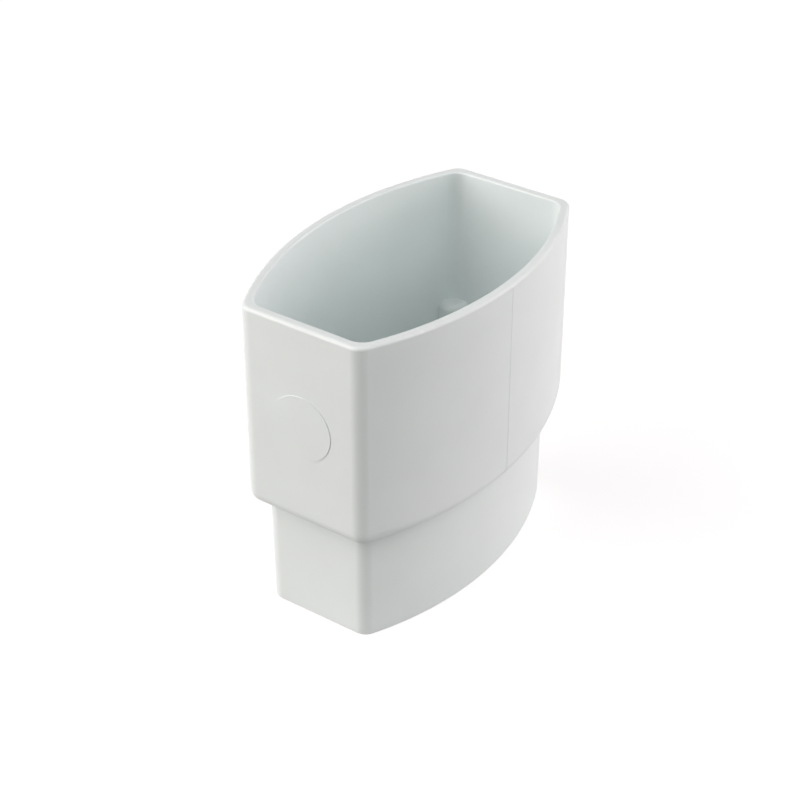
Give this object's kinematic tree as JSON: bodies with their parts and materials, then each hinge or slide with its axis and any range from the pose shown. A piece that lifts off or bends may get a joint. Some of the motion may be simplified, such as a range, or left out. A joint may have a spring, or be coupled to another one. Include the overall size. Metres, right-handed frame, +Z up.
{
  "type": "downspout connector",
  "caption": "Light grey moulded coupler for bowed rectangular downspout pipe: an open socket above a rounded shoulder and a narrower tapered spigot that slips into the pipe below.",
  "frame": {"origin": "middle of the spigot's lower end, on the surface that the part stands on", "axes": "+X along the long side of the pipe section, away from the end with the raised disc, +Y across the bowed sides, +Z up and out of the socket's mouth"},
  "size_m": [0.0965, 0.0616, 0.0924],
  "materials": {
    "grey_plastic": "smooth satin light grey rigid PVC, as moulded"
  },
  "bodies": {
    "root": {"connector_body": "grey_plastic"}
  },
  "joints": []
}
